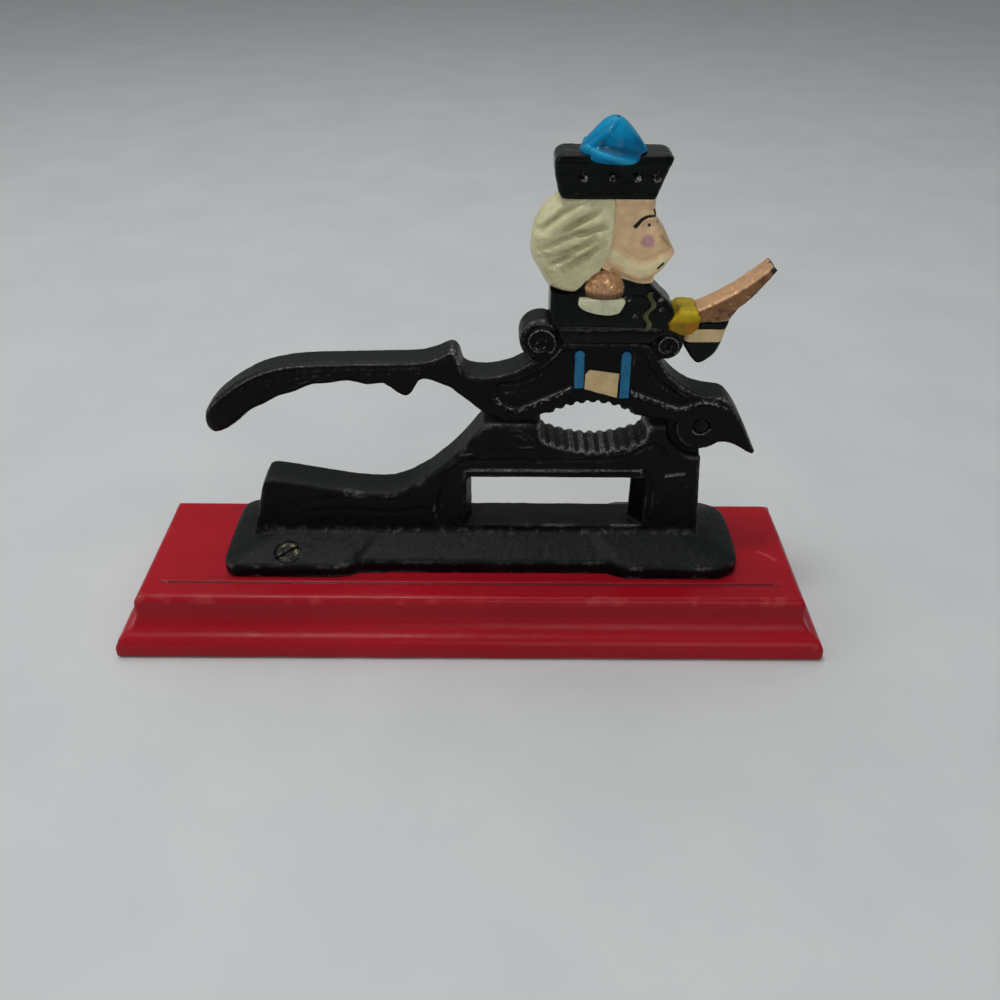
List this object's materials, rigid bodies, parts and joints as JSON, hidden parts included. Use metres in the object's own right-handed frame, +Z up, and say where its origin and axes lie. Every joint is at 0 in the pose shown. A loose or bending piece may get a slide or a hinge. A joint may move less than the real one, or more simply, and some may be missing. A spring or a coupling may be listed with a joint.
{
  "type": "lever nutcracker press",
  "caption": "Lever nutcracker press: a cast frame on a moulded wooden base and a hinged cast lever with a toy-soldier figure, cracking nuts between ribbed jaws.",
  "frame": {"origin": "middle of the underside of the wooden base", "axes": "+X along the base from the handle's end to the pivot's end, +Y to the back, +Z up; the picture sees the -Y side"},
  "size_m": [0.254, 0.076, 0.1794],
  "materials": {
    "red_paint": "gloss red paint over wood",
    "cast_black": "satin black paint over a sand casting",
    "screw_brass": "dulled, with black overpaint",
    "pin_black": "satin black",
    "gloss_black": "gloss black enamel",
    "olive_paint": "hand-brushed olive enamel",
    "copper_paint": "metallic copper enamel",
    "cream_paint": "gloss cream enamel",
    "ochre_paint": "hand-brushed ochre enamel",
    "tan_paint": "gloss tan enamel",
    "skin_paint": "gloss flesh enamel",
    "hair_paint": "gloss cream enamel",
    "blue_paint": "gloss blue enamel"
  },
  "bodies": {
    "frame": {"wood_base": "red_paint", "frame_casting": "cast_black", "plate_screws": "screw_brass", "pivot_pin": "pin_black"},
    "lever": {"lever_casting": "cast_black", "figure_coat": "gloss_black", "coat_braid": "olive_paint", "epaulettes": "copper_paint", "epaulette_fringes": "cream_paint", "sleeve_cuff": "ochre_paint", "sword_blade": "copper_paint", "sword_grip": "gloss_black", "grip_band": "tan_paint", "figure_face": "skin_paint", "figure_hair": "hair_paint", "figure_hat": "gloss_black", "hat_crown": "blue_paint", "trouser_stripes": "blue_paint", "waist_patch": "tan_paint"}
  },
  "joints": [
    {"name": "lever_hinge", "type": "hinge", "parent": "frame", "child": "lever", "pos_m": [0.08, 0.003, 0.0775], "axis": [0, 1, 0], "range_deg": [0, 48]}
  ]
}
